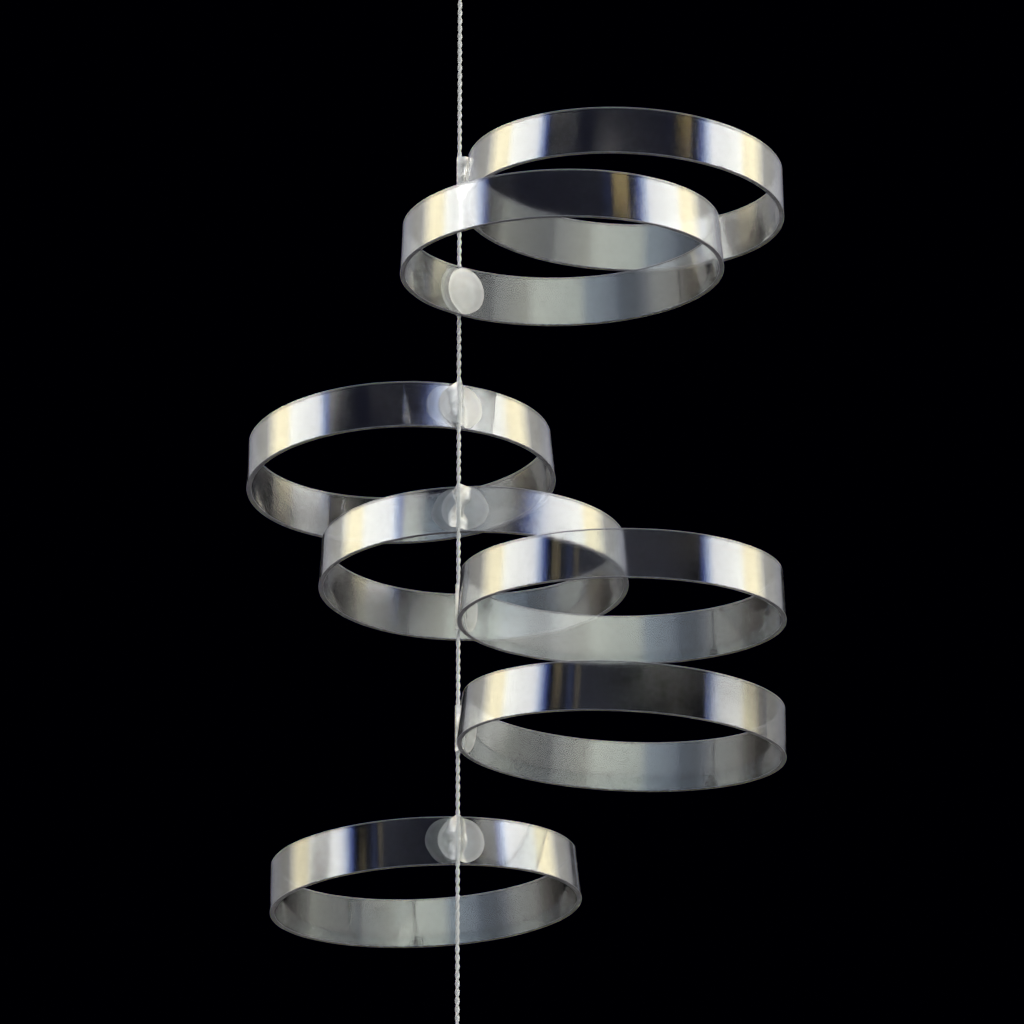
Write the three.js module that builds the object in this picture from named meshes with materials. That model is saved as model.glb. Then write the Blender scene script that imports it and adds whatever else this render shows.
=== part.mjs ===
// Hanging mobile: seven clear plastic rings, one below another on a single twisted cord.
// Each ring touches the cord with one point of its outer wall, where two frosted adhesive
// discs hold it: one inside the wall, one outside and tented over the cord.
//
// Units are millimetres, +Z is up. The origin is the point inside the crown of the hanging
// loop where a hook bears. The front is -Y. Headings turn anticlockwise from +X, from above.
import * as THREE from 'three';

// ---- Driving dimensions ----------------------------------------------------------------

const TOUCH_GAP = 0.3; // clearance kept between pieces that touch

const RING_HEIGHT = 15.6;
const RING_WALL = 1.5;
const RING_FLARE = 1; // lower rim radius minus upper rim radius
const RIM_CHAMFER = 0.2;
const RING_SIDES = 48;

const DISC_DIAMETER = 15;
const DISC_THICKNESS = 0.3;
const DISC_STATIONS = 12; // outline stations across a disc
const TENT_TOP_HALF_WIDTH = 0.9; // the tent's flat top over the cord
const TENT_FOOT_HALF_WIDTH = 3; // where the tent meets the wall again

const CORD_DIAMETER = 1.4;
const CORD_SIDES = 8;
const CORD_STEPS = 78;

const LOOP_LENGTH = 22; // crown to knot
const LOOP_HALF_WIDTH = 5;
const LOOP_STEPS = 26;
const KNOT_DIAMETER = 4.6;
const KNOT_LENGTH = 6.4;
const KNOT_SIDES = 10;
const TAIL_LENGTH = 9;
const END_KNOT_TOP = -371;

// One entry for each ring, from the top down:
// drop     lower rim below the origin, measured at the cord
// heading  direction from the cord to the ring's centre, in degrees
// droop    how far the side away from the cord hangs down, in degrees
// tilt     sideways lean about the heading, in degrees
// radius   outer radius at mid height
// inner, outer   how far each disc's middle lies off the cord, along the wall
const RINGS = [
  { drop: 101, heading: 4, droop: 2.5, tilt: -1.5, radius: 50.8, inner: 1.5, outer: 0 },
  { drop: 139.5, heading: -51, droop: -1, tilt: 0.5, radius: 49.75, inner: 0, outer: -2.5 },
  { drop: 176, heading: 112, droop: 5.5, tilt: 0, radius: 49.25, inner: 2.1, outer: -1.7 },
  { drop: 210, heading: 85, droop: 4.25, tilt: -1, radius: 49.25, inner: 1.6, outer: -1.8 },
  { drop: 243, heading: -13, droop: 0.25, tilt: 0.5, radius: 50.5, inner: 1.8, outer: 0.5 },
  { drop: 282, heading: -13, droop: 3, tilt: 0, radius: 50.25, inner: 0, outer: 0.5 },
  { drop: 317, heading: 102, droop: 2.5, tilt: -2.5, radius: 48.75, inner: 2.4, outer: -1.5 },
];

// ---- Derived dimensions ----------------------------------------------------------------

const CORD_RADIUS = CORD_DIAMETER / 2;
const WALL_TO_CORD_AXIS = TOUCH_GAP + CORD_RADIUS;
const LOOP_KNOT_TOP = -LOOP_LENGTH - TOUCH_GAP;
const CORD_TOP = LOOP_KNOT_TOP - KNOT_LENGTH - TOUCH_GAP;
const CORD_BOTTOM = END_KNOT_TOP + TOUCH_GAP;

// ---- Materials -------------------------------------------------------------------------

const clearPlastic = () => new THREE.MeshStandardMaterial({
  color: 0xe8eef2, roughness: 0.04, metalness: 0, transparent: true, opacity: 0.3,
});
const frostedFilm = () => new THREE.MeshStandardMaterial({
  color: 0xd9dde0, roughness: 0.6, metalness: 0, transparent: true, opacity: 0.7,
});
const twistedCord = () => new THREE.MeshStandardMaterial({
  color: 0xd6d7d4, roughness: 0.9, metalness: 0,
});

// ---- Shared shapes ---------------------------------------------------------------------

// Joins closed sections of equal length into one solid with a flat cap at each end.
// Sections turn anticlockwise when seen from the last one. The second half of a section
// is split along the other diagonal, so that both faces of a thin film fold alike.
function loft(sections) {
  const count = sections[0].length;
  const positions = sections.flat().flatMap((point) => point.toArray());
  const index = [];
  for (let i = 0; i + 1 < sections.length; i += 1) {
    for (let j = 0; j < count; j += 1) {
      const next = (j + 1) % count;
      const a = i * count + j;
      const b = i * count + next;
      if (2 * j < count) index.push(a, b, b + count, a, b + count, a + count);
      else index.push(a, b, a + count, b, b + count, a + count);
    }
  }
  const last = (sections.length - 1) * count;
  for (let j = 1; j + 1 < count; j += 1) {
    index.push(0, j + 1, j);
    index.push(last, last + j, last + j + 1);
  }
  const geometry = new THREE.BufferGeometry();
  geometry.setAttribute('position', new THREE.Float32BufferAttribute(positions, 3));
  geometry.setIndex(index);
  geometry.computeVertexNormals();
  return geometry;
}

// Turns an outline of [radius, height] points about the Z axis.
function turned(outline, sides) {
  const points = outline.map(([radius, height]) => new THREE.Vector2(radius, height));
  const geometry = new THREE.LatheGeometry(points, sides);
  geometry.rotateX(Math.PI / 2);
  return geometry;
}

function roundSection(radius, sides) {
  const shape = new THREE.Shape();
  for (let i = 0; i < sides; i += 1) {
    const angle = (2 * Math.PI * i) / sides;
    const x = radius * Math.cos(angle);
    const y = radius * Math.sin(angle);
    if (i === 0) shape.moveTo(x, y);
    else shape.lineTo(x, y);
  }
  shape.closePath();
  return shape;
}

function cordAlong(path, steps) {
  const section = roundSection(CORD_RADIUS, CORD_SIDES);
  return new THREE.ExtrudeGeometry(section, { steps, extrudePath: path, bevelEnabled: false });
}

// ---- Rings -----------------------------------------------------------------------------

// Outer radius of a ring's wall at a height above its lower rim.
function wallRadius(ring, height) {
  return ring.radius + RING_FLARE * (0.5 - height / RING_HEIGHT);
}

// Distance along the heading from the cord's axis to the ring's centre.
function centreDistance(ring) {
  return wallRadius(ring, 0) + WALL_TO_CORD_AXIS;
}

function ringGeometry(ring) {
  const low = wallRadius(ring, 0);
  const high = wallRadius(ring, RING_HEIGHT);
  const outline = [
    [low - RING_WALL + RIM_CHAMFER, 0],
    [low - RIM_CHAMFER, 0],
    [low, RIM_CHAMFER],
    [high, RING_HEIGHT - RIM_CHAMFER],
    [high - RIM_CHAMFER, RING_HEIGHT],
    [high - RING_WALL + RIM_CHAMFER, RING_HEIGHT],
    [high - RING_WALL, RING_HEIGHT - RIM_CHAMFER],
    [low - RING_WALL, RIM_CHAMFER],
  ];
  outline.push(outline[0]);
  return turned(outline, RING_SIDES).translate(centreDistance(ring), 0, 0);
}

// ---- Discs -----------------------------------------------------------------------------

// In a ring's own frame the cord leans by the droop and the tilt. At a height above the
// lower rim this is how far the cord's axis stands off the wall, and its sideways place.
function cordStandOff(ring, height) {
  const lean = Math.tan(THREE.MathUtils.degToRad(ring.droop));
  return WALL_TO_CORD_AXIS + height * (lean + RING_FLARE / RING_HEIGHT);
}

function cordSideways(ring, height) {
  return height * Math.tan(THREE.MathUtils.degToRad(ring.tilt));
}

// A point near a ring's wall, from its distance along the wall from the cord, its height,
// and its distance from the wall's outer face, outwards.
function nearWall(ring, along, height, outwards) {
  const angle = along / ring.radius;
  const reach = wallRadius(ring, height) + outwards;
  return new THREE.Vector3(
    centreDistance(ring) - reach * Math.cos(angle),
    reach * Math.sin(angle),
    height,
  );
}

// Places across a disc, from the cord's line: cosine spaced for a round outline, and the
// extra ones asked for, left out where two would fall closer than the least step.
function discStations(middle, extra) {
  const leastStep = 0.35;
  const radius = DISC_DIAMETER / 2;
  const edge = 0.05; // share of a half turn left off each end, so that no end is a point
  const places = extra.filter((place) => Math.abs(place - middle) < radius - leastStep);
  for (let i = 0; i <= DISC_STATIONS; i += 1) {
    const turn = Math.PI * (edge + ((1 - 2 * edge) * i) / DISC_STATIONS);
    const place = middle - radius * Math.cos(turn);
    if (places.every((other) => Math.abs(other - place) > leastStep)) places.push(place);
  }
  return places.sort((a, b) => a - b);
}

// A round film on a wall. faceAt gives the distance from the wall's outer face to the
// film's inward face, at a place off the cord's line and a height.
function discGeometry(ring, middle, extra, faceAt) {
  const radius = DISC_DIAMETER / 2;
  const sections = discStations(middle, extra).map((place) => {
    const half = Math.sqrt(radius * radius - (place - middle) ** 2);
    const corner = (height, lift) => {
      const along = place + cordSideways(ring, height);
      return nearWall(ring, along, height, faceAt(place, height) + lift);
    };
    const low = RING_HEIGHT / 2 - half;
    const high = RING_HEIGHT / 2 + half;
    return [
      corner(low, 0),
      corner(low, DISC_THICKNESS),
      corner(high, DISC_THICKNESS),
      corner(high, 0),
    ];
  });
  return loft(sections);
}

// The wall's flat facets bow inwards of its true round by their sagitta.
function innerDiscGeometry(ring) {
  const sagitta = ring.radius * (1 - Math.cos(Math.PI / RING_SIDES));
  const face = -(RING_WALL + sagitta + TOUCH_GAP + DISC_THICKNESS);
  return discGeometry(ring, ring.inner, [], () => face);
}

function outerDiscGeometry(ring) {
  const top = TENT_TOP_HALF_WIDTH;
  const foot = TENT_FOOT_HALF_WIDTH;
  const folds = [-foot, -top, top, foot];
  const faceAt = (place, height) => {
    const overCord = cordStandOff(ring, height) + CORD_RADIUS;
    const slope = (foot - Math.abs(place)) / (foot - top);
    return TOUCH_GAP + overCord * THREE.MathUtils.clamp(slope, 0, 1);
  };
  return discGeometry(ring, ring.outer, folds, faceAt);
}

// ---- Cord, loop and knots --------------------------------------------------------------

function cordGeometry() {
  const path = new THREE.LineCurve3(
    new THREE.Vector3(0, 0, CORD_TOP),
    new THREE.Vector3(0, 0, CORD_BOTTOM),
  );
  return cordAlong(path, CORD_STEPS);
}

// A narrow teardrop, from the knot up one side, over the crown and down the other.
function loopGeometry() {
  const side = [
    [CORD_RADIUS + TOUCH_GAP, -LOOP_LENGTH],
    [0.66 * LOOP_HALF_WIDTH, -0.68 * LOOP_LENGTH],
    [LOOP_HALF_WIDTH, -0.36 * LOOP_LENGTH],
    [0.8 * LOOP_HALF_WIDTH, -0.08 * LOOP_LENGTH],
  ];
  const up = side.map(([x, z]) => new THREE.Vector3(-x, 0, z));
  const crown = new THREE.Vector3(0, 0, CORD_RADIUS);
  const down = side.toReversed().map(([x, z]) => new THREE.Vector3(x, 0, z));
  return cordAlong(new THREE.CatmullRomCurve3([...up, crown, ...down]), LOOP_STEPS);
}

// Half an oval, from its lowest point on the axis to its highest.
function knotOutline(top) {
  const steps = 8;
  const outline = [];
  for (let i = 0; i <= steps; i += 1) {
    const turn = (Math.PI * i) / steps;
    const radius = (KNOT_DIAMETER / 2) * Math.sin(turn);
    outline.push([radius, top - (KNOT_LENGTH / 2) * (1 + Math.cos(turn))]);
  }
  outline[0][0] = 0;
  outline[steps][0] = 0;
  return outline;
}

// The stopper knot and the short tail below it.
function endKnotGeometry() {
  const oval = knotOutline(END_KNOT_TOP);
  const bulge = oval.filter(([radius]) => radius > CORD_RADIUS);
  const tailTop = bulge[0][1] - CORD_RADIUS;
  const tailBottom = END_KNOT_TOP - KNOT_LENGTH - TAIL_LENGTH;
  const tail = [
    [0, tailBottom],
    [CORD_RADIUS, tailBottom],
    [CORD_RADIUS, tailTop],
  ];
  return turned([...tail, ...bulge, oval[oval.length - 1]], KNOT_SIDES);
}

// ---- The mobile ------------------------------------------------------------------------

const mobile = new THREE.Group();

function addPiece(parent, name, geometry, material) {
  const piece = new THREE.Mesh(geometry, material);
  piece.name = name;
  parent.add(piece);
}

RINGS.forEach((ring, i) => {
  const hung = new THREE.Group();
  hung.position.z = -ring.drop;
  hung.rotation.set(
    THREE.MathUtils.degToRad(ring.tilt),
    THREE.MathUtils.degToRad(ring.droop),
    THREE.MathUtils.degToRad(ring.heading),
    'ZYX',
  );
  const number = i + 1;
  addPiece(hung, `ring_${number}`, ringGeometry(ring), clearPlastic());
  addPiece(hung, `inner_dot_${number}`, innerDiscGeometry(ring), frostedFilm());
  addPiece(hung, `outer_dot_${number}`, outerDiscGeometry(ring), frostedFilm());
  mobile.add(hung);
});

addPiece(mobile, 'cord', cordGeometry(), twistedCord());
addPiece(mobile, 'hanging_loop', loopGeometry(), twistedCord());
addPiece(mobile, 'loop_knot', turned(knotOutline(LOOP_KNOT_TOP), KNOT_SIDES), twistedCord());
addPiece(mobile, 'end_knot', endKnotGeometry(), twistedCord());

export default mobile;
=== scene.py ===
# Dressed model of the hanging mobile: clear plastic rings held by frosted discs on a cord.
# Metres, +Z up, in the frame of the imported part. The front is -Y.
import math

import bpy
import numpy as np
from mathutils import Matrix, Vector, noise


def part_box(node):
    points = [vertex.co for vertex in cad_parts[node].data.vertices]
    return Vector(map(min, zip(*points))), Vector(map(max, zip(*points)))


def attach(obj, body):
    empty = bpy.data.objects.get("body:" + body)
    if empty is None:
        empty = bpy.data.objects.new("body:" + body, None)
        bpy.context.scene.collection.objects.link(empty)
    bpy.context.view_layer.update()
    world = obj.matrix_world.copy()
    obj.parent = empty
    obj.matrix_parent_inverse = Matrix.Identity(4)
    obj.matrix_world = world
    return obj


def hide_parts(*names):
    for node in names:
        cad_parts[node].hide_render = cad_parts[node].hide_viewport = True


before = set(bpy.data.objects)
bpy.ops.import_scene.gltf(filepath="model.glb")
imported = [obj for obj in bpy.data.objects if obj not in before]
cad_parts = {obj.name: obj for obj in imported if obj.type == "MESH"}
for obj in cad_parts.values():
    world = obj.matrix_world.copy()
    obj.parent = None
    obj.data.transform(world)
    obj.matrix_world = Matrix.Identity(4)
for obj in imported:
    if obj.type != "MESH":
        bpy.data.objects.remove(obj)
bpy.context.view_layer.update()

MM = 0.001
RINGS = range(1, 8)

# Camera
VIEW_PITCH = math.radians(17.12)  # it looks up from below
VIEW_DISTANCE = 1.878
VIEW_TARGET = Vector((0.0167, 0, -0.204))
VIEW_START = 0.05  # nearer things aren't drawn
LENS = 210.9  # on a 36 mm sensor

# Rings
RING_SEGMENTS = 288
RIM_ROUNDING = 0.18 * MM
RIM_SHARE = 0.972  # of half the height, past which a face is rim and no longer wall
RIM_CORNER = 6  # degrees, past which an edge is shaded sharp
CHAMFER_REACH = 0.3 * MM  # the solid's chamfers lie within this of its rims
WALL_BOW = 0.02 * MM  # the wall's middle lies this far inwards of a straight line between its rims

# Frosted discs
FILM_THICKNESS = 0.14 * MM
FILM_CLEARANCE = 0.04 * MM
DISC_RADIUS = 7.5 * MM
DISC_CORNER = 50  # degrees, past which an edge is shaded sharp
OUTSIDE_DISC_SEEDS = 20  # added to the number, so that a ring's two discs differ in outline
TENT_FOOT = 3.0 * MM  # where the film over the cord meets the wall again, on average
TENT_FOOT_SPREAD = 0.9  # how far the foot wanders, as a share
TENT_TOP = 0.4  # half the width of the tent's flat top, in cord diameters
TENT_FALL = 1.7  # above 1, the film falls fast at first and runs out gently
PUCKER_HEIGHT = 0.12 * MM

# Cord: two plies laid round each other
CORD_DIAMETER = 1.4 * MM
PLY_DIAMETER = 0.82 * MM
LAY_LENGTH = 5.4 * MM  # one full turn of the two plies
CORD_STEP = 0.36 * MM
PLY_SIDES = 11
FILAMENTS = 9.0  # drawn round each ply
KNOT_TURNS = 3.4
TAIL_START = 0.8 * MM  # below the stopper knot's last wrap
TAIL_MARGIN = 0.1 * MM  # from the tail's end to the solid's
WELD = 0.001 * MM


# ---- Small tools ---------------------------------------------------------------------------

def colour(hex_value):
    """An sRGB hex colour as linear RGBA."""
    channels = [int(hex_value[i:i + 2], 16) / 255 for i in (1, 3, 5)]
    linear = [c / 12.92 if c <= 0.04045 else ((c + 0.055) / 1.055) ** 2.4 for c in channels]
    return (*linear, 1.0)


def per_metre(millimetres):
    """How many grains of this size go in a metre, to the nearest whole one: a pattern's scale."""
    return round(1 / (millimetres * MM))


def add_node(tree, kind, inputs=None, **settings):
    """A node with its settings made and its inputs given, each as a value or as a socket to link."""
    made = tree.nodes.new(kind)
    for name, value in settings.items():
        setattr(made, name, value)
    for key, value in (inputs or {}).items():
        if isinstance(value, bpy.types.NodeSocket):
            tree.links.new(value, made.inputs[key])
        else:
            made.inputs[key].default_value = value
    return made


def mix(a, b, share):
    """What lies this share of the way from a to b."""
    return a + (b - a) * share


def new_material(name):
    """An empty material with its output node, and its tree."""
    material = bpy.data.materials.new(name)
    material.use_nodes = True
    material.node_tree.nodes.clear()
    return material, material.node_tree


def new_geometry_tree(name, inputs):
    """A Geometry Nodes tree with a geometry socket and named inputs, and its input node."""
    tree = bpy.data.node_groups.new(name, "GeometryNodeTree")
    tree.interface.new_socket("Geometry", in_out="INPUT", socket_type="NodeSocketGeometry")
    for label, kind in inputs:
        tree.interface.new_socket(label, in_out="INPUT", socket_type=kind)
    tree.interface.new_socket("Geometry", in_out="OUTPUT", socket_type="NodeSocketGeometry")
    return tree, tree.nodes.new("NodeGroupInput")


def grow(tree, base, values):
    """The plain mesh that a Geometry Nodes tree makes from a base mesh and values for its inputs."""
    carrier = bpy.data.objects.new("carrier", base)
    bpy.context.scene.collection.objects.link(carrier)
    modifier = carrier.modifiers.new("grow", "NODES")
    modifier.node_group = tree
    sockets = {s.name: s for s in tree.interface.items_tree if s.in_out == "INPUT"}
    for label, value in values.items():
        modifier[sockets[label].identifier] = value
    evaluated = carrier.evaluated_get(bpy.context.evaluated_depsgraph_get())
    mesh = bpy.data.meshes.new_from_object(evaluated)
    carrier.modifiers.remove(modifier)
    bpy.data.objects.remove(carrier)
    return mesh


def add_piece(name, mesh, material_slot, *nodes, sharp_from=180):
    """A finished piece that rides on the part and stands for these nodes. It is shaded smooth
    across its edges, except where its faces meet at more than sharp_from degrees."""
    mesh.name = name
    for polygon in mesh.polygons:
        polygon.use_smooth = True
    mesh.set_sharp_from_angle(angle=math.radians(sharp_from))
    piece = bpy.data.objects.new(name, mesh)
    bpy.context.scene.collection.objects.link(piece)
    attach(piece, "root")
    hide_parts(*nodes)
    return piece


# ---- Camera --------------------------------------------------------------------------------

def add_camera():
    """It stands below the part and looks up at it."""
    camera = bpy.data.objects.new("camera", bpy.data.cameras.new("camera"))
    bpy.context.scene.collection.objects.link(camera)
    forwards = Vector((0, math.cos(VIEW_PITCH), math.sin(VIEW_PITCH)))
    camera.location = VIEW_TARGET - forwards * VIEW_DISTANCE
    camera.rotation_euler = (math.pi / 2 + VIEW_PITCH, 0, 0)
    camera.data.lens = LENS
    camera.data.clip_start = VIEW_START
    bpy.context.scene.camera = camera


add_camera()


# ---- Materials -----------------------------------------------------------------------------

def clear_acrylic():
    """Extruded acrylic tube: clear, and a little short of glossy, which softens what it mirrors.
    Faint drawing lines along the tube's axis break up a reflection's edge."""
    material, tree = new_material("clear_extruded_acrylic")
    place = add_node(tree, "ShaderNodeAttribute", attribute_name="ring_place")
    along_axis = add_node(
        tree, "ShaderNodeMapping",
        {"Vector": place.outputs["Vector"],
         "Scale": (per_metre(1.111), per_metre(1.111), per_metre(83.3))},
    )
    lines = add_node(
        tree, "ShaderNodeTexNoise",
        {"Vector": along_axis.outputs["Vector"], "Scale": 1.0, "Detail": 2.0, "Roughness": 0.5},
    )
    haze = add_node(
        tree, "ShaderNodeTexNoise",
        {"Vector": place.outputs["Vector"], "Scale": per_metre(11.11), "Detail": 3.0},
    )
    roughness = add_node(
        tree, "ShaderNodeMapRange",
        {"Value": haze.outputs["Fac"], "From Min": 0.35, "From Max": 0.75,
         "To Min": 0.06, "To Max": 0.095},
    )
    bump = add_node(
        tree, "ShaderNodeBump",
        {"Height": lines.outputs["Fac"], "Strength": 0.12, "Distance": 0.02 * MM},
    )
    shader = add_node(
        tree, "ShaderNodeBsdfPrincipled",
        {"Base Color": colour("#F7FAFB"), "IOR": 1.49, "Transmission Weight": 1.0,
         "Roughness": roughness.outputs["Result"], "Normal": bump.outputs["Normal"]},
    )
    add_node(tree, "ShaderNodeOutputMaterial", {"Surface": shader.outputs["BSDF"]})
    return material


def sawn_rim():
    """The tube's cut end, sawn and rubbed smooth: matt, so it shows as a thin grey line."""
    material, tree = new_material("rubbed_acrylic_edge")
    place = add_node(tree, "ShaderNodeAttribute", attribute_name="ring_place")
    scratches = add_node(
        tree, "ShaderNodeTexNoise",
        {"Vector": place.outputs["Vector"], "Scale": per_metre(0.4), "Detail": 3.0,
         "Roughness": 0.6},
    )
    tint = add_node(
        tree, "ShaderNodeMix",
        {"Factor": scratches.outputs["Fac"], "A": colour("#4E4E5C"), "B": colour("#7C7C8A")},
        data_type="RGBA",
    )
    bump = add_node(
        tree, "ShaderNodeBump",
        {"Height": scratches.outputs["Fac"], "Strength": 0.4, "Distance": 0.05 * MM},
    )
    shader = add_node(
        tree, "ShaderNodeBsdfPrincipled",
        {"Base Color": tint.outputs["Result"], "IOR": 1.49, "Roughness": 0.55,
         "Transmission Weight": 0.5, "Normal": bump.outputs["Normal"]},
    )
    add_node(tree, "ShaderNodeOutputMaterial", {"Surface": shader.outputs["BSDF"]})
    return material


def frosted_film():
    """Self-adhesive frosted vinyl disc: milky and partly see-through, creased by hand when it
    was pressed on. Towards its cut edge it is tinted and made more opaque, a painted light catch
    where the edge scatters light."""
    material, tree = new_material("frosted_vinyl_film")
    object_place = add_node(tree, "ShaderNodeTexCoord")
    cloud = add_node(
        tree, "ShaderNodeTexNoise",
        {"Vector": object_place.outputs["Object"], "Scale": per_metre(5.26), "Detail": 2.0},
    )
    creases = add_node(
        tree, "ShaderNodeTexNoise",
        {"Vector": object_place.outputs["Object"], "Scale": per_metre(8.33), "Detail": 1.0,
         "Roughness": 0.4, "Distortion": 0.8},
        noise_type="RIDGED_MULTIFRACTAL",
    )
    tint = add_node(
        tree, "ShaderNodeMix",
        {"Factor": cloud.outputs["Fac"], "A": colour("#CCD4DA"), "B": colour("#E6E6E0")},
        data_type="RGBA",
    )
    reach = add_node(tree, "ShaderNodeAttribute", attribute_name="film_reach")
    # Painted light catch: towards the cut edge the film is tinted and made more opaque, so its rim
    # shows lighter, as where the edge scatters light.
    edge = add_node(
        tree, "ShaderNodeMapRange",
        {"Value": reach.outputs["Fac"], "From Min": 0.8, "From Max": 1.0,
         "To Min": 0.0, "To Max": 1.0},
    )
    edge_scatter_tint = add_node(
        tree, "ShaderNodeMix",
        {"Factor": edge.outputs["Result"], "A": tint.outputs["Result"],
         "B": colour("#D8D8DC")},
        data_type="RGBA",
    )
    cover = add_node(
        tree, "ShaderNodeMapRange",
        {"Value": edge.outputs["Result"], "To Min": 0.3, "To Max": 0.42},
    )
    bump = add_node(
        tree, "ShaderNodeBump",
        {"Height": creases.outputs["Fac"], "Strength": 0.5, "Distance": 0.3 * MM},
    )
    shader = add_node(
        tree, "ShaderNodeBsdfPrincipled",
        {"Base Color": edge_scatter_tint.outputs["Result"], "Roughness": 0.4, "IOR": 1.5,
         "Transmission Weight": 0.9,
         "Alpha": cover.outputs["Result"], "Normal": bump.outputs["Normal"]},
    )
    add_node(tree, "ShaderNodeOutputMaterial", {"Surface": shader.outputs["BSDF"]})
    return material


def twisted_yarn():
    """Light grey two-ply nylon twine: each ply is a bundle of filaments with a soft sheen. The
    filaments are drawn coarser than real ones, or they wouldn't show."""
    material, tree = new_material("nylon_twine")
    place = add_node(tree, "ShaderNodeUVMap", uv_map="yarn")
    filaments = add_node(
        tree, "ShaderNodeMapping",
        {"Vector": place.outputs["UV"], "Scale": (FILAMENTS, per_metre(1.111), 1.0),
         "Rotation": (0, 0, math.radians(0.35))},
    )
    fibre = add_node(
        tree, "ShaderNodeTexNoise",
        {"Vector": filaments.outputs["Vector"], "Scale": 1.0, "Detail": 2.0},
    )
    tint = add_node(
        tree, "ShaderNodeMix",
        {"Factor": fibre.outputs["Fac"], "A": colour("#787674"), "B": colour("#AEAFB0")},
        data_type="RGBA",
    )
    bump = add_node(
        tree, "ShaderNodeBump",
        {"Height": fibre.outputs["Fac"], "Strength": 0.5, "Distance": 0.05 * MM},
    )
    shader = add_node(
        tree, "ShaderNodeBsdfPrincipled",
        {"Base Color": tint.outputs["Result"], "Roughness": 0.5, "IOR": 1.5,
         "Sheen Weight": 0.3, "Sheen Roughness": 0.4, "Normal": bump.outputs["Normal"]},
    )
    add_node(tree, "ShaderNodeOutputMaterial", {"Surface": shader.outputs["BSDF"]})
    return material


ACRYLIC = clear_acrylic()
RIM = sawn_rim()
FILM = frosted_film()
YARN = twisted_yarn()


# ---- Cord ----------------------------------------------------------------------------------

def twine_tree():
    """Lays two round plies about each other along the base mesh's line of edges."""
    tree, given = new_geometry_tree("two_ply_twine", [
        ("Ply Radius", "NodeSocketFloat"),
        ("Ply Offset", "NodeSocketFloat"),
        ("Turn per Metre", "NodeSocketFloat"),
        ("Step", "NodeSocketFloat"),
        ("Sides", "NodeSocketInt"),
        ("Material", "NodeSocketMaterial"),
    ])
    line = add_node(tree, "GeometryNodeMeshToCurve", {"Mesh": given.outputs["Geometry"]})
    stepped = add_node(
        tree, "GeometryNodeResampleCurve",
        {"Curve": line.outputs["Curve"], "Length": given.outputs["Step"]}, mode="LENGTH",
    )
    length = add_node(tree, "GeometryNodeSplineParameter")
    turn = add_node(
        tree, "ShaderNodeMath",
        {0: length.outputs["Length"], 1: given.outputs["Turn per Metre"]}, operation="MULTIPLY",
    )
    twisted = add_node(
        tree, "GeometryNodeSetCurveTilt",
        {"Curve": stepped.outputs["Curve"], "Tilt": turn.outputs["Value"]},
    )
    measured = add_node(
        tree, "GeometryNodeCaptureAttribute", {"Geometry": twisted.outputs["Curve"]},
    )
    measured.capture_items.new("FLOAT", "Along")
    tree.links.new(length.outputs["Length"], measured.inputs["Along"])

    plies = []
    for side in (1, -1):
        ply = add_node(
            tree, "GeometryNodeCurveArc",
            {"Radius": given.outputs["Ply Radius"], "Sweep Angle": 2 * math.pi,
             "Resolution": given.outputs["Sides"]},
        )
        shift = add_node(
            tree, "ShaderNodeMath", {0: given.outputs["Ply Offset"], 1: side}, operation="MULTIPLY",
        )
        offset = add_node(tree, "ShaderNodeCombineXYZ", {"X": shift.outputs["Value"]})
        placed = add_node(
            tree, "GeometryNodeTransform",
            {"Geometry": ply.outputs["Curve"], "Translation": offset.outputs["Vector"]},
        )
        plies.append(placed.outputs["Geometry"])
    section = add_node(tree, "GeometryNodeJoinGeometry")
    for ply in plies:
        tree.links.new(ply, section.inputs["Geometry"])
    around = add_node(
        tree, "GeometryNodeCaptureAttribute", {"Geometry": section.outputs["Geometry"]},
    )
    around.capture_items.new("FLOAT", "Around")
    factor = add_node(tree, "GeometryNodeSplineParameter")
    tree.links.new(factor.outputs["Factor"], around.inputs["Around"])

    # The twine is drawn to a point at its ends, which closes it.
    is_end = add_node(tree, "GeometryNodeCurveEndpointSelection")
    girth = add_node(
        tree, "ShaderNodeMath", {0: 1.0, 1: is_end.outputs["Selection"]}, operation="SUBTRACT",
    )
    swept = add_node(
        tree, "GeometryNodeCurveToMesh",
        {"Curve": measured.outputs["Geometry"], "Profile Curve": around.outputs["Geometry"],
         "Scale": girth.outputs["Value"]},
    )
    place = add_node(
        tree, "ShaderNodeCombineXYZ",
        {"X": around.outputs["Around"], "Y": measured.outputs["Along"]},
    )
    mapped = add_node(
        tree, "GeometryNodeStoreNamedAttribute",
        {"Geometry": swept.outputs["Mesh"], "Name": "yarn", "Value": place.outputs["Vector"]},
        data_type="FLOAT2", domain="CORNER",
    )
    closed = add_node(
        tree, "GeometryNodeMergeByDistance",
        {"Geometry": mapped.outputs["Geometry"], "Distance": WELD},
    )
    plain = add_node(tree, "GeometryNodeRealizeInstances", {"Geometry": closed.outputs["Geometry"]})
    finished = add_node(
        tree, "GeometryNodeSetMaterial",
        {"Geometry": plain.outputs["Geometry"], "Material": given.outputs["Material"]},
    )
    add_node(tree, "NodeGroupOutput", {"Geometry": finished.outputs["Geometry"]})
    return tree


TWINE = twine_tree()


def twine_along(points):
    """A length of twine that follows the points."""
    line = bpy.data.meshes.new("line")
    line.from_pydata([tuple(p) for p in points], [(i, i + 1) for i in range(len(points) - 1)], [])
    return grow(TWINE, line, {
        "Ply Radius": PLY_DIAMETER / 2,
        "Ply Offset": (CORD_DIAMETER - PLY_DIAMETER) / 2,
        "Turn per Metre": 2 * math.pi / LAY_LENGTH,
        "Step": CORD_STEP,
        "Sides": PLY_SIDES,
        "Material": YARN,
    })


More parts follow.
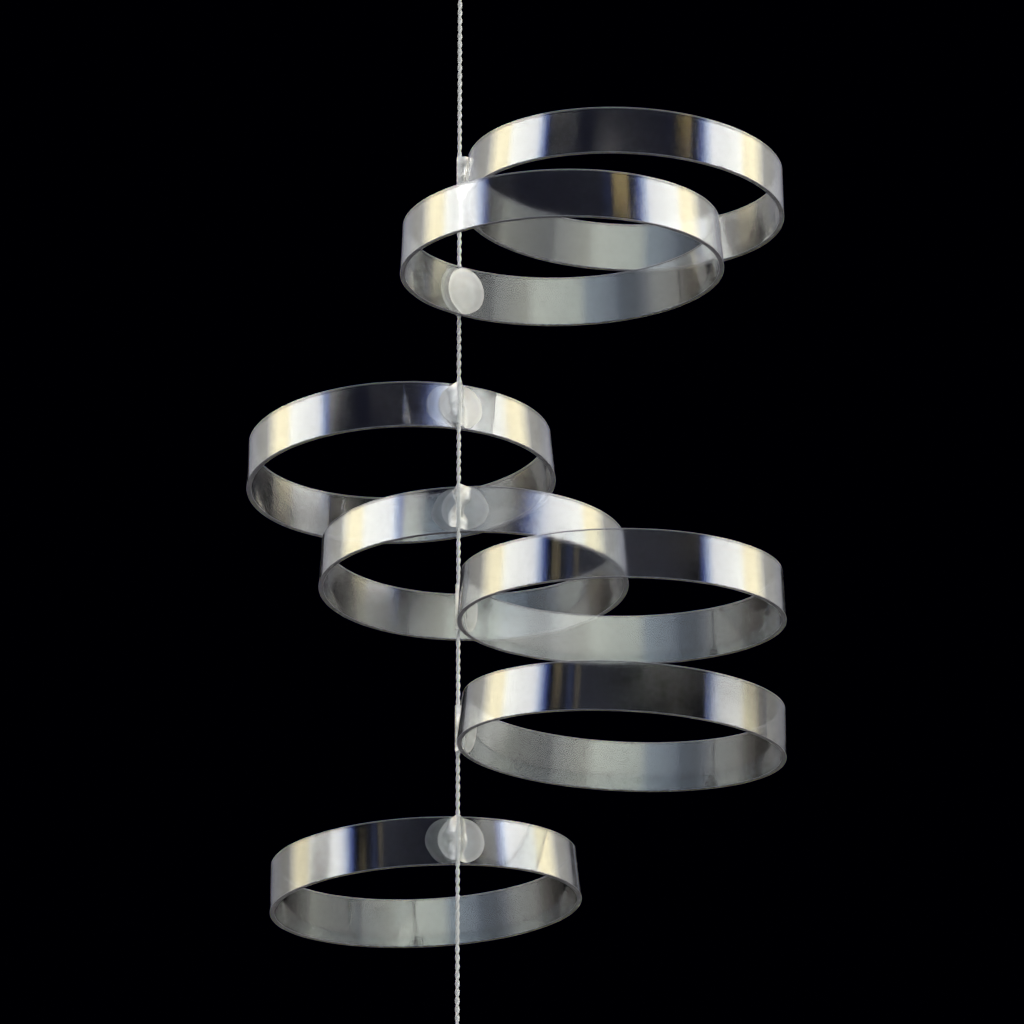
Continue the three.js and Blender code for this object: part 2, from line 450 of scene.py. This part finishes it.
def helix(middle, top, bottom, radius):
    """Points of a wrap down round the cord, drawn in to the middle at both ends."""
    steps = 90
    tucked_reach = 0.35  # of the radius, at both ends
    tuck_length = 1 / 9  # of the whole wrap
    points = []
    for i in range(steps + 1):
        share = i / steps
        turn = 2 * math.pi * KNOT_TURNS * share
        opened = min(1.0, share / tuck_length, (1 - share) / tuck_length)
        reach = radius * mix(tucked_reach, 1, opened)
        points.append(middle + Vector((
            reach * math.cos(turn), reach * math.sin(turn), top + (bottom - top) * share)))
    return points


def smooth_line(points, steps):
    """A smooth line through the points, in so many steps from one to the next."""
    ends = [points[0] * 2 - points[1], *points, points[-1] * 2 - points[-2]]
    line = []
    for a, b, c, d in zip(ends, ends[1:], ends[2:], ends[3:]):
        for i in range(steps):
            t = i / steps
            line.append(0.5 * (
                2 * b + (c - a) * t + (2 * a - 5 * b + 4 * c - d) * t ** 2
                + (3 * b - a - 3 * c + d) * t ** 3))
    line.append(points[-1])
    return line


def add_cord():
    """The taut cord, and the same cord's loop, wrapped knot, stopper knot and tail."""
    knot_low, knot_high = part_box("loop_knot")
    end_low, end_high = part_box("end_knot")
    loop_low, loop_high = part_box("hanging_loop")
    cord_radius = CORD_DIAMETER / 2
    knot_radius = (knot_high.x - knot_low.x) / 2
    knot_height = knot_high.z - knot_low.z

    top = knot_low.z + knot_height / 2
    bottom = end_high.z - knot_height / 2
    spans = 20
    route = [Vector((0, 0, top + (bottom - top) * i / spans)) for i in range(spans + 1)]
    cord = add_piece("twisted_cord", twine_along(route), "twisted_cord", "cord")

    # One side of the loop's route, from the knot up to the crown, given as shares of
    # the sizes above. The other side mirrors it.
    half = loop_high.x - cord_radius
    drop = -loop_low.z
    side = [
        Vector((0.5 * cord_radius, 0, -drop - 0.4 * knot_height)),
        Vector((1.15 * cord_radius, 0, -drop)),
        Vector((0.66 * half, 0, -0.68 * drop)),
        Vector((half, 0, -0.36 * drop)),
        Vector((0.8 * half, 0, -0.08 * drop)),
    ]
    crown = Vector((0, 0, cord_radius))
    mirrored = [Vector((-p.x, p.y, p.z)) for p in side]
    loop_route = smooth_line([*mirrored, crown, *reversed(side)], steps=10)
    loop = add_piece("hang_loop", twine_along(loop_route), "twisted_cord", "hanging_loop")

    wraps = (knot_height - CORD_DIAMETER) / 2
    reach = knot_radius - cord_radius
    knot = add_piece(
        "wrapped_knot", twine_along(helix(Vector(), top + wraps, top - wraps, reach)),
        "twisted_cord", "loop_knot",
    )
    stop = helix(Vector(), bottom + wraps, bottom - wraps, reach)
    tail_end = Vector((0, 0, end_low.z + TAIL_MARGIN))
    tail = [Vector((0, 0, bottom - wraps - TAIL_START)), tail_end]
    stopper = add_piece("stopper_knot", twine_along([*stop, *tail]), "twisted_cord", "end_knot")


add_cord()


# ---- Rings ---------------------------------------------------------------------------------

def ring_tree():
    """A slice of tube: a wall's section with rounded corners, swept round a circle."""
    tree, given = new_geometry_tree("tube_slice", [
        ("Middle Radius", "NodeSocketFloat"),
        ("Height", "NodeSocketFloat"),
        ("Wall", "NodeSocketFloat"),
        ("Flare", "NodeSocketFloat"),
        ("Bow", "NodeSocketFloat"),
        ("Rim Rounding", "NodeSocketFloat"),
        ("Segments", "NodeSocketInt"),
        ("Wall Material", "NodeSocketMaterial"),
        ("Rim Material", "NodeSocketMaterial"),
    ])
    round_path = add_node(
        tree, "GeometryNodeCurvePrimitiveCircle",
        {"Radius": given.outputs["Middle Radius"], "Resolution": given.outputs["Segments"]},
    )
    section = add_node(
        tree, "GeometryNodeCurvePrimitiveQuadrilateral",
        {"Width": given.outputs["Wall"], "Height": given.outputs["Height"]},
    )
    rounded = add_node(
        tree, "GeometryNodeFilletCurve",
        {"Curve": section.outputs["Curve"], "Count": 3, "Radius": given.outputs["Rim Rounding"]},
        mode="POLY",
    )
    # Points up the wall's faces let them bow.
    split = add_node(
        tree, "GeometryNodeSubdivideCurve", {"Curve": rounded.outputs["Curve"], "Cuts": 9},
    )
    swept = add_node(
        tree, "GeometryNodeCurveToMesh",
        {"Curve": round_path.outputs["Curve"], "Profile Curve": split.outputs["Curve"]},
    )
    place = add_node(tree, "GeometryNodeInputPosition")
    parts = add_node(tree, "ShaderNodeSeparateXYZ", {"Vector": place.outputs["Position"]})
    # Height as -1 at the lower rim to 1 at the upper.
    level = add_node(
        tree, "ShaderNodeMath", {0: parts.outputs["Z"], 1: given.outputs["Height"]},
        operation="DIVIDE",
    )
    level = add_node(
        tree, "ShaderNodeMath", {0: level.outputs["Value"], 1: 2.0}, operation="MULTIPLY",
    )
    lean = add_node(
        tree, "ShaderNodeMath", {0: level.outputs["Value"], 1: given.outputs["Flare"]},
        operation="MULTIPLY",
    )
    squared = add_node(
        tree, "ShaderNodeMath", {0: level.outputs["Value"], 1: level.outputs["Value"]},
        operation="MULTIPLY",
    )
    bowed = add_node(
        tree, "ShaderNodeMath",
        {0: squared.outputs["Value"], 1: given.outputs["Bow"]}, operation="MULTIPLY",
    )
    outwards = add_node(
        tree, "ShaderNodeMath",
        {0: lean.outputs["Value"], 1: -0.5, 2: bowed.outputs["Value"]}, operation="MULTIPLY_ADD",
    )
    flat_place = add_node(
        tree, "ShaderNodeCombineXYZ", {"X": parts.outputs["X"], "Y": parts.outputs["Y"]},
    )
    direction = add_node(
        tree, "ShaderNodeVectorMath", {0: flat_place.outputs["Vector"]}, operation="NORMALIZE",
    )
    shift = add_node(
        tree, "ShaderNodeVectorMath",
        {0: direction.outputs["Vector"], "Scale": outwards.outputs["Value"]}, operation="SCALE",
    )
    shaped = add_node(
        tree, "GeometryNodeSetPosition",
        {"Geometry": swept.outputs["Mesh"], "Offset": shift.outputs["Vector"]},
    )
    placed = add_node(
        tree, "GeometryNodeStoreNamedAttribute",
        {"Geometry": shaped.outputs["Geometry"], "Name": "ring_place",
         "Value": place.outputs["Position"]},
        data_type="FLOAT_VECTOR", domain="POINT",
    )
    plain = add_node(tree, "GeometryNodeRealizeInstances", {"Geometry": placed.outputs["Geometry"]})
    walled = add_node(
        tree, "GeometryNodeSetMaterial",
        {"Geometry": plain.outputs["Geometry"], "Material": given.outputs["Wall Material"]},
    )
    height_off = add_node(
        tree, "ShaderNodeMath", {0: level.outputs["Value"]}, operation="ABSOLUTE",
    )
    is_rim = add_node(
        tree, "FunctionNodeCompare", {0: height_off.outputs["Value"], 1: RIM_SHARE},
        operation="GREATER_THAN",
    )
    rimmed = add_node(
        tree, "GeometryNodeSetMaterial",
        {"Geometry": walled.outputs["Geometry"], "Selection": is_rim.outputs["Result"],
         "Material": given.outputs["Rim Material"]},
    )
    add_node(tree, "NodeGroupOutput", {"Geometry": rimmed.outputs["Geometry"]})
    return tree


TUBE_SLICE = ring_tree()


class RingPlace:
    """A ring's sizes and its own frame: origin at the middle of its height on its axis, Z up the
    axis, and X towards the cord. Worked out from the part's own solid."""

    def __init__(self, number):
        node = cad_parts[f"ring_{number}"]
        points = np.unique(np.round([tuple(v.co) for v in node.data.vertices], decimals=7), axis=0)
        centre = points.mean(axis=0)
        spread, directions = np.linalg.eigh(np.cov((points - centre).T))
        axis = directions[:, 0] * math.copysign(1, directions[2, 0])
        to_cord = np.array([-centre[0], -centre[1], 0.0])
        forwards = to_cord - axis * to_cord.dot(axis)
        forwards /= np.linalg.norm(forwards)
        sideways = np.cross(axis, forwards)
        turn = Matrix(np.column_stack([forwards, sideways, axis]).tolist()).to_4x4()
        self.matrix = Matrix.Translation(centre.tolist()) @ turn
        local = (points - centre) @ np.column_stack([forwards, sideways, axis])
        radii = np.hypot(local[:, 0], local[:, 1])
        low, high = local[:, 2].min(), local[:, 2].max()
        chamfer_low = radii[local[:, 2] < low + CHAMFER_REACH]
        chamfer_high = radii[local[:, 2] > high - CHAMFER_REACH]
        self.height = high - low
        self.flare = chamfer_low.max() - chamfer_high.max()
        self.wall = chamfer_low.max() - chamfer_low.min()
        self.radius = (chamfer_low.max() + chamfer_high.max()) / 2

    def wall_radius(self, level):
        """Outer radius at a height above the middle."""
        share = 2 * level / self.height
        return self.radius - self.flare * share / 2 + WALL_BOW * (share * share - 1)

    def point(self, along, level, outwards):
        """A point at a distance round the wall from the cord, a height, and outwards of it."""
        reach = self.wall_radius(level) + outwards
        angle = along / self.radius
        return Vector((reach * math.cos(angle), reach * math.sin(angle), level))

    def cord_at(self, level):
        """Distance of the cord's axis outside the wall at a height, and its place along it."""
        back = self.matrix.inverted()
        start = back @ Vector((0, 0, 0))
        run = (back @ Vector((0, 0, 1))) - start
        here = start + run * ((level - start.z) / run.z)
        stand_off = math.hypot(here.x, here.y) - self.wall_radius(level)
        return stand_off, math.atan2(here.y, here.x) * self.radius


def add_ring(number, ring):
    """A clear tube slice in the place of the ring's solid."""
    mesh = grow(TUBE_SLICE, bpy.data.meshes.new("empty"), {
        "Middle Radius": ring.radius - ring.wall / 2 - WALL_BOW,
        "Height": ring.height,
        "Wall": ring.wall,
        "Flare": ring.flare,
        "Bow": WALL_BOW,
        "Rim Rounding": RIM_ROUNDING,
        "Segments": RING_SEGMENTS,
        "Wall Material": ACRYLIC,
        "Rim Material": RIM,
    })
    mesh.transform(ring.matrix)
    add_piece(
        f"clear_ring_{number}", mesh, "clear_plastic", f"ring_{number}", sharp_from=RIM_CORNER,
    )


# ---- Frosted discs -------------------------------------------------------------------------

def disc_middle(ring, node):
    """Where along the wall a disc's middle lies."""
    back = ring.matrix.inverted()
    local = [back @ v.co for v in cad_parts[node].data.vertices]
    along = [math.atan2(p.y, p.x) * ring.radius for p in local]
    return (min(along) + max(along)) / 2


def outline(angle, seed):
    """A disc's reach at an angle, as a share of its radius. It was cut by hand, so it is round
    but for one blunt point with a flattened flank to each side."""
    point_turn = 2.4  # radians from one disc's point to the next one's
    point_width = 0.2
    flank_place = 0.6
    flank_width = 0.3
    unevenness = 0.03
    plain_reach = 0.99
    off = abs((angle - point_turn * seed + math.pi) % (2 * math.pi) - math.pi)
    point = unevenness * math.exp(-(off / point_width) ** 2)
    flanks = unevenness * math.exp(-((off - flank_place) / flank_width) ** 2)
    return plain_reach + point - flanks


def film_mesh(ring, middle, seed, inner_face):
    """A round film of even thickness. inner_face gives the distance from the wall's outer face
    to the film's face nearer the wall, for a place along the wall and a height."""
    rounds = 26
    sides = 96
    verts = []
    for layer in (0, 1):
        verts.append((0.0, 0.0, layer))
        for i in range(1, rounds + 1):
            for j in range(sides):
                angle = 2 * math.pi * j / sides
                reach = DISC_RADIUS * outline(angle, seed) * i / rounds
                verts.append((reach * math.cos(angle), reach * math.sin(angle), layer))
    placed = []
    for x, z, layer in verts:
        along = middle + x
        lift = inner_face(along, z) + layer * FILM_THICKNESS
        placed.append(ring.matrix @ ring.point(along, z, lift))
    count = 1 + rounds * sides
    faces = []
    for layer in (0, 1):
        base = layer * count
        sheet = []
        for j in range(sides):
            k = (j + 1) % sides
            sheet.append((base, base + 1 + j, base + 1 + k))
            for i in range(rounds - 1):
                a = base + 1 + i * sides
                b = a + sides
                sheet.append((a + j, b + j, b + k, a + k))
        faces += sheet if layer else [f[::-1] for f in sheet]
    edge = 1 + (rounds - 1) * sides
    for j in range(sides):
        k = (j + 1) % sides
        faces.append((edge + j, edge + k, count + edge + k, count + edge + j))
    mesh = bpy.data.meshes.new("film")
    mesh.from_pydata([tuple(p) for p in placed], [], faces)
    mesh.materials.append(FILM)
    shares = [0.0] + [i / rounds for i in range(1, rounds + 1) for j in range(sides)]
    mesh.attributes.new("film_reach", "FLOAT", "POINT").data.foreach_set("value", shares * 2)
    return mesh


def add_discs(number, ring):
    """The film inside the wall, and the one outside that is tented over the cord."""
    inner = disc_middle(ring, f"inner_dot_{number}")
    outer = disc_middle(ring, f"outer_dot_{number}")
    # Steps of noise in a millimetre, and from one disc to the next
    foot_grain = 0.22
    foot_stride = 3.1
    crease_grain_along = 0.55
    crease_grain_up = 0.4
    crease_stride = 7.3
    crease_sharpness = 4
    feet_apart = 5.0  # steps of noise to each side, so that the tent's two feet wander apart

    def against_wall(along, level):
        return -(ring.wall + FILM_CLEARANCE + FILM_THICKNESS)

    def over_cord(along, level):
        stand_off, across = ring.cord_at(level)
        height = stand_off + CORD_DIAMETER / 2 + FILM_CLEARANCE
        off = abs(along - across)
        top = TENT_TOP * CORD_DIAMETER
        side = math.copysign(feet_apart, along - across)
        spread = noise.noise(Vector((side, level / MM * foot_grain, number * foot_stride)))
        foot = TENT_FOOT * (1 + TENT_FOOT_SPREAD * spread)
        share = min(1.0, max(0.0, (off - top) / (foot - top)))
        fall = (1 - share) ** TENT_FALL
        crease = noise.noise(Vector((
            along / MM * crease_grain_along, level / MM * crease_grain_up,
            number * crease_stride)))
        pucker = PUCKER_HEIGHT * (1 - abs(crease) * crease_sharpness) * math.sin(math.pi * share)
        return FILM_CLEARANCE + height * fall + max(0.0, pucker)

    add_piece(
        f"inside_disc_{number}", film_mesh(ring, inner, number, against_wall),
        "frosted_film", f"inner_dot_{number}", sharp_from=DISC_CORNER,
    )
    add_piece(
        f"outside_disc_{number}",
        film_mesh(ring, outer, number + OUTSIDE_DISC_SEEDS, over_cord),
        "frosted_film", f"outer_dot_{number}", sharp_from=DISC_CORNER,
    )


for number in RINGS:
    place = RingPlace(number)
    add_ring(number, place)
    add_discs(number, place)


# ---- Studio --------------------------------------------------------------------------------

STUDIO_CENTRE = Vector((0.02, 0, -0.2))
STUDIO_RADIUS = 60.0  # far off, so that every piece sees the lights in the same directions
LAYER_GAP = 2.0  # from one panel's layer to the next
# Degrees round the studio and degrees up
SOFTBOX_INNER = 60
SOFTBOX_OUTER = 122.0
SPILL_OUTER = 172.0
SPILL_TOP = 34
STUDIO_TOP = 52.0
REFLECTOR_SPAN = 135  # to each side
REFLECTOR_FOOT = -2

# Levels round the studio, each a list of azimuths and one of elevations, in degrees. Walls at
# the back mirror what is below the reflector's top, walls facing the camera what is above it.
# The two lowest rings are seen from less far below, so they mirror the low boxes.
SOFTBOX_FOOT = ((-150, -120, -90, -75, -60, 60, 120, 150),
                (18.2, 19.6, 19.6, 18.8, 19.2, 21.2, 18.5, 17.6))
LOW_BOX_TOP = ((-150, -120, -105, -90, -75, 60, 90, 120, 150),
               (15.2, 16.6, 17.3, 17.9, 19.0, 19.1, 17.7, 16.9, 16.2))
REFLECTOR_TOP = ((-150, -90, -60, -30, 0, 15, 30, 60, 90, 105, 120, 150),
                 (13.5, 16.3, 18.7, 19.9, 20.2, 19.8, 18.9, 17.4, 16.3, 16.1, 15.7, 15.0))


def level_at(azimuth, level):
    """The elevation of a level at an azimuth."""
    return float(np.interp(azimuth, *level))


def towards(azimuth, elevation, layer):
    """A point of the studio's wall of lights. Azimuth 0 is the camera's side, + to the right."""
    turn = math.radians(azimuth)
    rise = math.radians(elevation)
    return STUDIO_CENTRE + (STUDIO_RADIUS + layer * LAYER_GAP) * Vector((
        math.sin(turn) * math.cos(rise), -math.cos(turn) * math.cos(rise), math.sin(rise)))


def add_diffuser(name, direction, across, up, strength, layer=0):
    """A curved diffuser. direction gives the azimuth and elevation at a share of its width and
    height. Its colour runs through the stops across and up, which hold shares of its width and
    height. A higher layer is further off."""
    columns = 96
    rows = 12
    verts = []
    for row in range(rows + 1):
        for column in range(columns + 1):
            verts.append(towards(*direction(column / columns, row / rows), layer))
    faces = []
    for row in range(rows):
        for column in range(columns):
            corner = row * (columns + 1) + column
            faces.append((corner, corner + 1, corner + columns + 2, corner + columns + 1))
    mesh = bpy.data.meshes.new(name)
    mesh.from_pydata([tuple(v) for v in verts], [], faces)
    places = mesh.uv_layers.new(name="diffuser")
    for loop in mesh.loops:
        row, column = divmod(loop.vertex_index, columns + 1)
        places.data[loop.index].uv = (column / columns, row / rows)
    material, tree = new_material(name)
    place = add_node(tree, "ShaderNodeUVMap", uv_map="diffuser")
    parts = add_node(tree, "ShaderNodeSeparateXYZ", {"Vector": place.outputs["UV"]})
    ramps = []
    for axis, stops in (("X", across), ("Y", up)):
        ramp = add_node(tree, "ShaderNodeValToRGB", {"Fac": parts.outputs[axis]})
        elements = ramp.color_ramp.elements
        while len(elements) < len(stops):
            elements.new(0.5)
        for element, (share, hex_value) in zip(elements, stops):
            element.position = share
            element.color = colour(hex_value)
        ramps.append(ramp.outputs["Color"])
    shade = add_node(
        tree, "ShaderNodeMix", {"Factor": 1.0, "A": ramps[0], "B": ramps[1]},
        data_type="RGBA", blend_type="MULTIPLY",
    )
    light = add_node(
        tree, "ShaderNodeEmission", {"Color": shade.outputs["Result"], "Strength": strength},
    )
    # Thin scrim: it adds its light to what comes through from behind.
    scrim = add_node(tree, "ShaderNodeBsdfTransparent")
    both = add_node(
        tree, "ShaderNodeAddShader", {0: light.outputs["Emission"], 1: scrim.outputs["BSDF"]},
    )
    add_node(tree, "ShaderNodeOutputMaterial", {"Surface": both.outputs["Shader"]})
    mesh.materials.append(material)
    diffuser = bpy.data.objects.new(name, mesh)
    bpy.context.scene.collection.objects.link(diffuser)
    diffuser.visible_camera = False


SOFT_EDGE = [(0.0, "#000000"), (0.25, "#FFFFFF"), (0.75, "#FFFFFF"), (1.0, "#000000")]


def add_panel(name, azimuths, elevations, hex_value, strength, layer):
    """A plain soft-edged panel between two azimuths and two elevations."""
    def direction(across, up):
        return mix(*azimuths, across), mix(*elevations, up)

    shade = [(share, hex_value if edge == "#FFFFFF" else edge) for share, edge in SOFT_EDGE]
    add_diffuser(name, direction, shade, SOFT_EDGE, strength, layer)


BOX_SHADES = [
    (0.0, "#161C38"), (0.05, "#40528C"), (0.11, "#AEBCDC"), (0.18, "#F8F8FC"), (0.25, "#FFFFFF"),
    (0.56, "#FFFEF6"), (0.66, "#F1E6C4"), (0.8, "#E4DABA"), (0.92, "#B0AA98"), (1.0, "#8A8884"),
]
LOW_BOX_SHADES = [
    (0.0, "#3A4878"), (0.06, "#7684AC"), (0.14, "#DCE2F4"), (0.22, "#FFFFFF"), (0.5, "#FFFEF6"),
    (0.6, "#EFE4C2"), (0.74, "#D0C8AC"), (0.85, "#807C74"), (1.0, "#56565C"),
]
SPILL_SHADES = [
    (0.0, "#F4F2EC"), (0.2, "#C6C4BE"), (0.45, "#98989A"), (0.8, "#6A6A72"), (1.0, "#303038"),
]


def add_softboxes():
    """A tall box to each side, below each a low box with a dim gap between the two, and further
    round their spill on the studio's wall."""
    def inner_edge(side, elevation):
        """The tall box's inner edge. The right one closes in with height. The left one draws
        back with height, and near its foot it reaches further in."""
        if side > 0:
            closed_in = 5 * max(0, elevation - 28.5)
            return 57 - closed_in
        drawn_back = 2.5 * max(0, elevation - 30)
        reached_in = 1.2 * max(0, 22 - elevation)
        return 55.5 + drawn_back - reached_in

    def between(side, near, far, foot, top):
        def direction(across, up):
            azimuth = side * mix(near, far, across)
            return azimuth, mix(level_at(azimuth, foot), level_at(azimuth, top), up)
        return direction

    sides = (
        (1, "right", LOW_BOX_SHADES, [
            (0.0, "#D4D4D0"), (0.4, "#D4D4D0"), (0.62, "#868684"), (0.75, "#6C6C6A"),
            (1.0, "#3C3C3A")]),
        (-1, "left", BOX_SHADES, [
            (0.0, "#DCDCD6"), (0.25, "#CACAC4"), (0.48, "#7E7E7C"), (0.7, "#6C6C6A"),
            (1.0, "#3C3C3A")]),
    )
    for side, name, low_shades, gap_shades in sides:
        def box(across, up, side=side):
            foot = level_at(side * mix(SOFTBOX_INNER, SOFTBOX_OUTER, across), SOFTBOX_FOOT)
            elevation = mix(foot, STUDIO_TOP, up)
            return side * mix(inner_edge(side, elevation), SOFTBOX_OUTER, across), elevation

        def spill(across, up, side=side):
            azimuth = side * mix(SOFTBOX_OUTER, SPILL_OUTER, across)
            return azimuth, mix(level_at(azimuth, SOFTBOX_FOOT), SPILL_TOP, up)

        full = [(0.0, "#FFFFFF"), (1.0, "#FFFFFF")]
        dim_foot = [(0.0, "#A8A8A8"), (0.3, "#FFFFFF"), (1.0, "#FFFFFF")]
        faded_top = [(0.0, "#FFFFFF"), (0.8, "#FFFFFF"), (1.0, "#000000")]
        low_box = between(side, SOFTBOX_INNER, SOFTBOX_OUTER, REFLECTOR_TOP, LOW_BOX_TOP)
        gap = between(side, SOFTBOX_INNER, SOFTBOX_OUTER, LOW_BOX_TOP, SOFTBOX_FOOT)
        low_spill = between(side, SOFTBOX_OUTER, SPILL_OUTER, REFLECTOR_TOP, LOW_BOX_TOP)
        add_diffuser(name + "_softbox", box, BOX_SHADES, full, strength=9.2)
        add_diffuser(name + "_low_box", low_box, low_shades, dim_foot, strength=7.6)
        add_diffuser(name + "_gap", gap, gap_shades, full, strength=4.0)
        add_diffuser(name + "_spill", spill, SPILL_SHADES, faded_top, strength=1.8)
        add_diffuser(name + "_low_spill", low_spill, SPILL_SHADES, full, strength=1.3)


def add_low_reflector():
    """A long low reflector round the camera's side, brightest behind the camera."""
    shades = [
        (-135, "#1E1D1C"), (-118, "#34322F"), (-104, "#5E5C58"), (-92, "#92928E"),
        (-74, "#A6A8A6"), (-64, "#8A8E94"), (-56, "#70767E"), (-45, "#747C86"),
        (-38, "#929CA8"), (-20, "#AEBAC4"), (-12, "#E0E8E0"), (18, "#F0F5EA"), (27, "#CCCEC4"),
        (48, "#B0B2B0"), (54, "#8C8E8E"), (98, "#94958E"), (106, "#6C6C68"), (122, "#383836"),
        (135, "#1F1F1F"),
    ]

    def direction(across, up):
        azimuth = mix(-REFLECTOR_SPAN, REFLECTOR_SPAN, across)
        return azimuth, mix(REFLECTOR_FOOT, level_at(azimuth, REFLECTOR_TOP), up)

    across = [
        ((azimuth + REFLECTOR_SPAN) / (2 * REFLECTOR_SPAN), shade) for azimuth, shade in shades
    ]
    up = [(0.0, "#000000"), (0.15, "#FFFFFF"), (0.95, "#FFFFFF"), (1.0, "#A0A0A0")]
    add_diffuser("low_reflector", direction, across, up, strength=6.2)


def add_panels():
    """Dim light in the dark between the boxes, and narrow coloured strips that edge them. Each is
    a name, two azimuths, two elevations, a colour and a strength, and lies a layer further off
    than the one before it."""
    panels = [
        ("arch_glow", (-70, 70), (19.5, 44), "#6C7090", 0.55),
        ("upper_fill", (-26, 38), (32.3, 34.3), "#F4F4F0", 2.4),
        ("left_fill", (-62, -34), (28.2, 31.4), "#F4F4F0", 4.8),
        ("middle_fill", (37, 76), (24.0, 27.0), "#F4F4F0", 3.2),
        ("gap_fill", (30, 66), (19.9, 21.7), "#D8D4C8", 1.8),
        ("lower_fill", (8, 150), (6.2, 11.2), "#F0F2EC", 2.4),
        ("low_glow", (-60, 54), (21.6, 24.3), "#9AA0B0", 0.7),
        ("warm_strip_right", (36, 52), (27.2, 28.6), "#F2D890", 5.0),
        ("cool_strip_right", (29, 39), (27.2, 28.9), "#5A78C8", 0.8),
        ("warm_strip_left", (-53, -45), (21.8, 23.4), "#F0DCA0", 1.6),
        ("cool_strip_left", (-42, -36), (21.8, 24.2), "#5A78C8", 0.7),
        ("thin_warm_strip_left", (-36, -31), (21.8, 23.4), "#F0DCA0", 0.9),
    ]
    for layer, panel in enumerate(panels, start=1):
        add_panel(*panel, layer)


def add_floor():
    """A wide plain grey floor, below the camera's view from the front. It is darker than a pale
    one, because the strong lights would burn that out."""
    mesh = bpy.data.meshes.new("floor")
    half = 4.0
    level = -1.0
    corners = [(-half, -half, level), (half, -half, level), (half, half, level), (-half, half, level)]
    mesh.from_pydata(corners, [], [(0, 1, 2, 3)])
    material, tree = new_material("plain_studio_floor")
    shader = add_node(
        tree, "ShaderNodeBsdfPrincipled", {"Base Color": colour("#5E5D5B"), "Roughness": 0.9},
    )
    add_node(tree, "ShaderNodeOutputMaterial", {"Surface": shader.outputs["BSDF"]})
    mesh.materials.append(material)
    floor = bpy.data.objects.new("floor", mesh)
    bpy.context.scene.collection.objects.link(floor)


def add_world():
    """Next to no light from outside the studio."""
    world = bpy.data.worlds.new("dark_studio")
    world.use_nodes = True
    world.node_tree.nodes["Background"].inputs["Color"].default_value = colour("#000002")
    world.node_tree.nodes["Background"].inputs["Strength"].default_value = 1.0
    bpy.context.scene.world = world


add_floor()
add_world()
add_softboxes()
add_low_reflector()
add_panels()
bpy.context.scene.view_settings.view_transform = "Standard"
